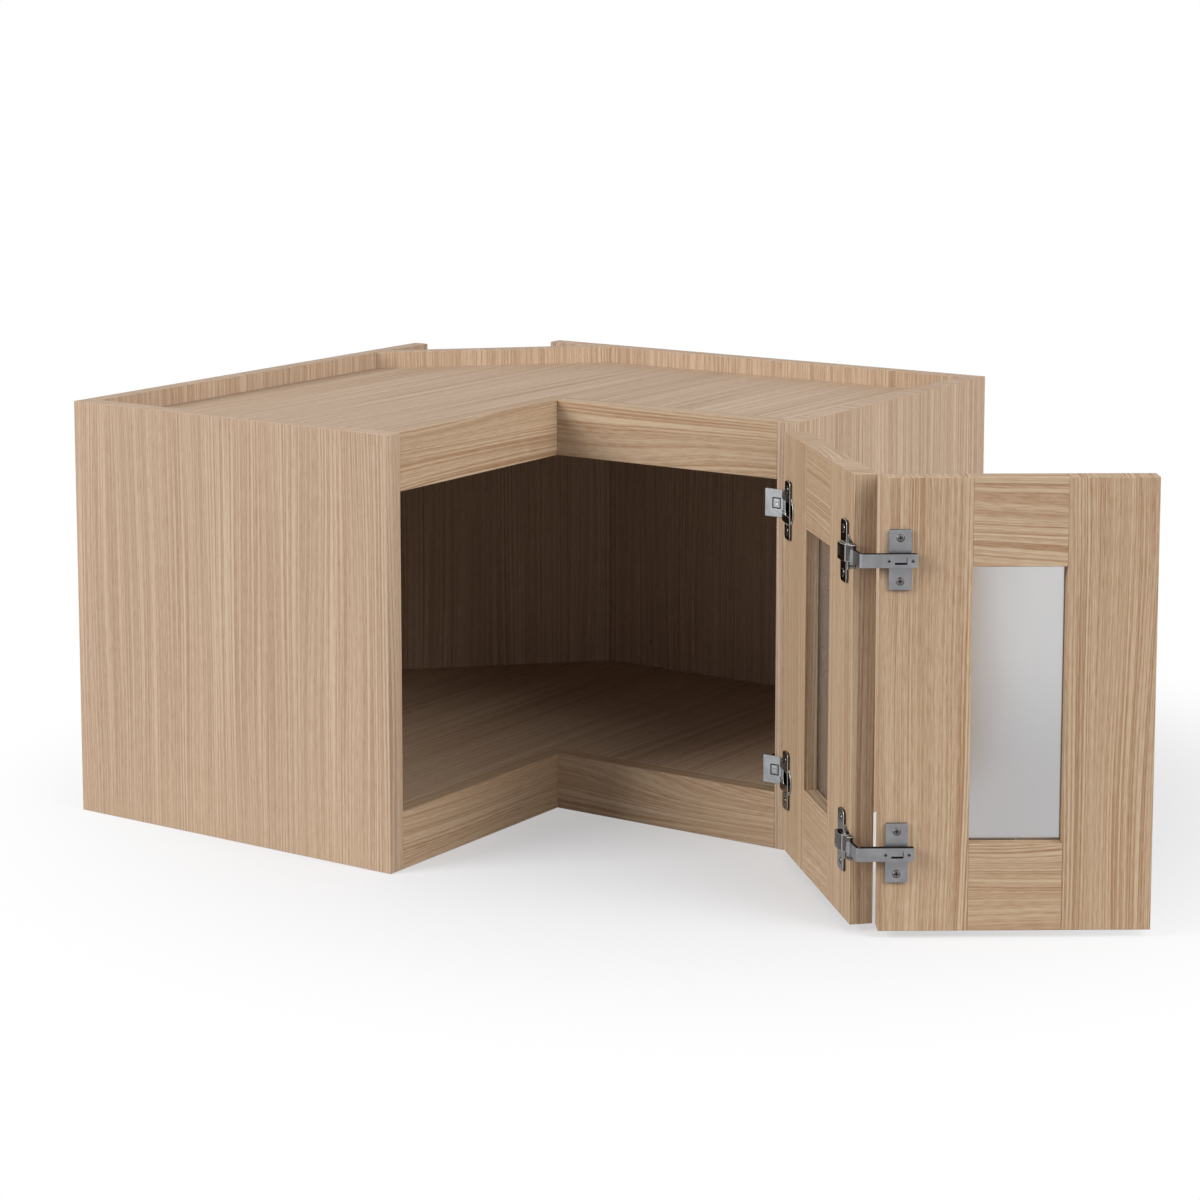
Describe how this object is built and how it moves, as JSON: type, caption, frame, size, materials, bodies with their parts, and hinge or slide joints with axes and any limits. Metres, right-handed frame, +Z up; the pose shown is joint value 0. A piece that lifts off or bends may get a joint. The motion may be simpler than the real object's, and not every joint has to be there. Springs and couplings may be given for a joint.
{
  "type": "corner wall cabinet",
  "caption": "L-shaped corner wall cabinet with a diagonal back and folding glazed frame doors hinged to its right wing.",
  "frame": {"origin": "the corner where the two walls meet, at the height of the cabinet's base", "axes": "+Z up; the right wing runs along +X with its back on the wall plane Y = 0, and the left wing runs along -Y with its back on the wall plane X = 0"},
  "size_m": [0.9688, 0.6096, 0.381],
  "materials": {
    "oak_veneer": "matt light oak veneer with straight grain",
    "oak_door": "matt light oak veneer with straight grain, solid frame",
    "dowel_beech": "plain fluted beech, hidden",
    "pane_glass": "polished, light grey tint",
    "cup_steel": "dark bright plated",
    "strap_steel": "satin nickel plated",
    "screw_steel": "zinc plated"
  },
  "bodies": {
    "cabinet": {"left_end_panel": "oak_veneer", "right_end_panel": "oak_veneer", "left_back_panel": "oak_veneer", "right_back_panel": "oak_veneer", "corner_back_panel": "oak_veneer", "top_panel": "oak_veneer", "bottom_panel": "oak_veneer", "top_rail_left": "oak_veneer", "top_rail_right": "oak_veneer", "bottom_rail_left": "oak_veneer", "bottom_rail_right": "oak_veneer", "deck_dowels": "dowel_beech", "rail_dowels": "dowel_beech", "back_panel_screws": "screw_steel", "mounting_plate_screws": "screw_steel", "arm_fixing_screws": "screw_steel", "cabinet_hinge_pins": "screw_steel", "upper_cabinet_hinge_arm": "strap_steel", "upper_cabinet_hinge_mounting_plate": "strap_steel", "lower_cabinet_hinge_arm": "strap_steel", "lower_cabinet_hinge_mounting_plate": "strap_steel"},
    "hinged_door": {"hinged_door_hinge_stile": "oak_door", "hinged_door_fold_stile": "oak_door", "hinged_door_top_rail": "oak_door", "hinged_door_bottom_rail": "oak_door", "hinged_door_glass": "pane_glass", "cup_screws": "screw_steel", "fold_hinge_pins": "screw_steel", "upper_cabinet_hinge_cup": "cup_steel", "upper_fold_hinge_cup": "cup_steel", "lower_cabinet_hinge_cup": "cup_steel", "lower_fold_hinge_cup": "cup_steel"},
    "folding_door": {"folding_door_fold_stile": "oak_door", "folding_door_free_stile": "oak_door", "folding_door_top_rail": "oak_door", "folding_door_bottom_rail": "oak_door", "folding_door_glass": "pane_glass", "fold_plate_screws": "screw_steel", "strap_screws": "screw_steel", "upper_fold_hinge_plate": "strap_steel", "upper_fold_hinge_strap": "strap_steel", "lower_fold_hinge_plate": "strap_steel", "lower_fold_hinge_strap": "strap_steel"}
  },
  "joints": [
    {"name": "door_swing", "type": "hinge", "parent": "cabinet", "child": "hinged_door", "pos_m": [0.6048, -0.36506, 0.1905], "axis": [0, 0, 1], "range_deg": [-135, 30]},
    {"name": "door_fold", "type": "hinge", "parent": "hinged_door", "child": "folding_door", "pos_m": [0.76403, -0.53074, 0.1905], "axis": [0, 0, 1], "range_deg": [-2.25, 10]}
  ],
  "couplings": [
    {"joint": "door_fold", "follows": "door_swing", "ratio": -0.074074}
  ]
}
